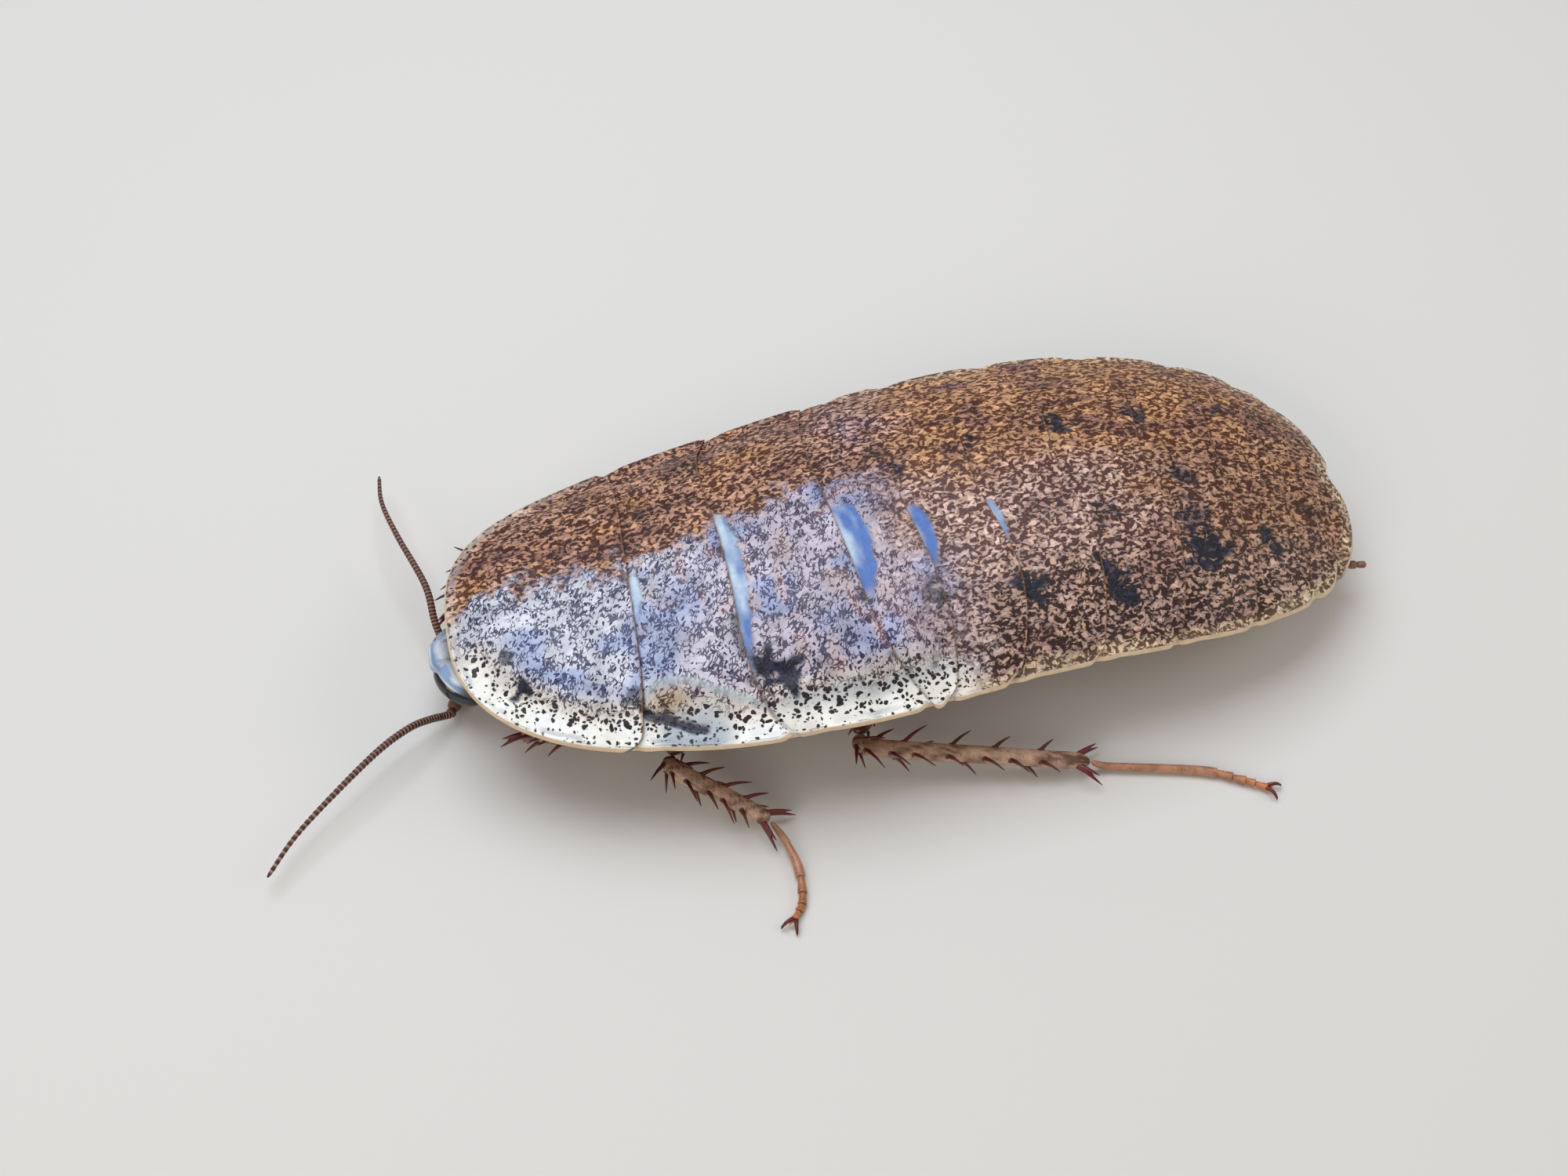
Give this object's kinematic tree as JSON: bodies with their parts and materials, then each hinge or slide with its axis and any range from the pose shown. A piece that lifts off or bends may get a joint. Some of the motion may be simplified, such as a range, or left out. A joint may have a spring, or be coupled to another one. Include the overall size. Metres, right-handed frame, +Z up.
{
  "type": "bark cockroach",
  "caption": "Life-size still model of a flat, wingless bark cockroach crouched on the ground, with shield-like back plates, spiny legs, short tail feelers and long antennae.",
  "frame": {"origin": "centre of the bounding box, on the floor that the feet rest on", "axes": "+X towards the head, +Y to the animal's left, +Z up"},
  "size_m": [0.0396, 0.0218, 0.0061],
  "materials": {
    "dorsal_cuticle": "finely granular, satin, brown speckled with cream and black",
    "ventral_cuticle": "smooth, softly glossy brown",
    "head_cuticle": "smooth, glossy chestnut",
    "eye": "glossy black, finely faceted",
    "antenna": "dark brown with pale rings",
    "leg_cuticle": "satin tan with glossy red-brown spines"
  },
  "bodies": {
    "root": {"pronotum": "dorsal_cuticle", "mesonotum": "dorsal_cuticle", "metanotum": "dorsal_cuticle", "tergite_1": "dorsal_cuticle", "tergite_2": "dorsal_cuticle", "tergite_3": "dorsal_cuticle", "tergite_4": "dorsal_cuticle", "tergite_5": "dorsal_cuticle", "tergite_6": "dorsal_cuticle", "tergite_7": "dorsal_cuticle", "supra_anal_plate": "dorsal_cuticle", "sternite_2": "ventral_cuticle", "sternite_3": "ventral_cuticle", "sternite_4": "ventral_cuticle", "sternite_5": "ventral_cuticle", "sternite_6": "ventral_cuticle", "subgenital_plate": "ventral_cuticle", "prosternum": "ventral_cuticle", "mesosternum": "ventral_cuticle", "metasternum": "ventral_cuticle", "head": "head_cuticle", "eye_left": "eye", "eye_right": "eye", "mouthparts": "head_cuticle", "palp_left": "head_cuticle", "palp_right": "head_cuticle", "antenna_base_left": "antenna", "antenna_base_right": "antenna", "antenna_left": "antenna", "antenna_right": "antenna", "cercus_left": "leg_cuticle", "cercus_right": "leg_cuticle", "coxa_fore_left": "leg_cuticle", "femur_fore_left": "leg_cuticle", "tibia_fore_left": "leg_cuticle", "tarsus_fore_left": "leg_cuticle", "coxa_fore_right": "leg_cuticle", "femur_fore_right": "leg_cuticle", "tibia_fore_right": "leg_cuticle", "tarsus_fore_right": "leg_cuticle", "coxa_mid_left": "leg_cuticle", "femur_mid_left": "leg_cuticle", "tibia_mid_left": "leg_cuticle", "tarsus_mid_left": "leg_cuticle", "coxa_mid_right": "leg_cuticle", "femur_mid_right": "leg_cuticle", "tibia_mid_right": "leg_cuticle", "tarsus_mid_right": "leg_cuticle", "coxa_hind_left": "leg_cuticle", "femur_hind_left": "leg_cuticle", "tibia_hind_left": "leg_cuticle", "tarsus_hind_left": "leg_cuticle", "coxa_hind_right": "leg_cuticle", "femur_hind_right": "leg_cuticle", "tibia_hind_right": "leg_cuticle", "tarsus_hind_right": "leg_cuticle"}
  },
  "joints": []
}
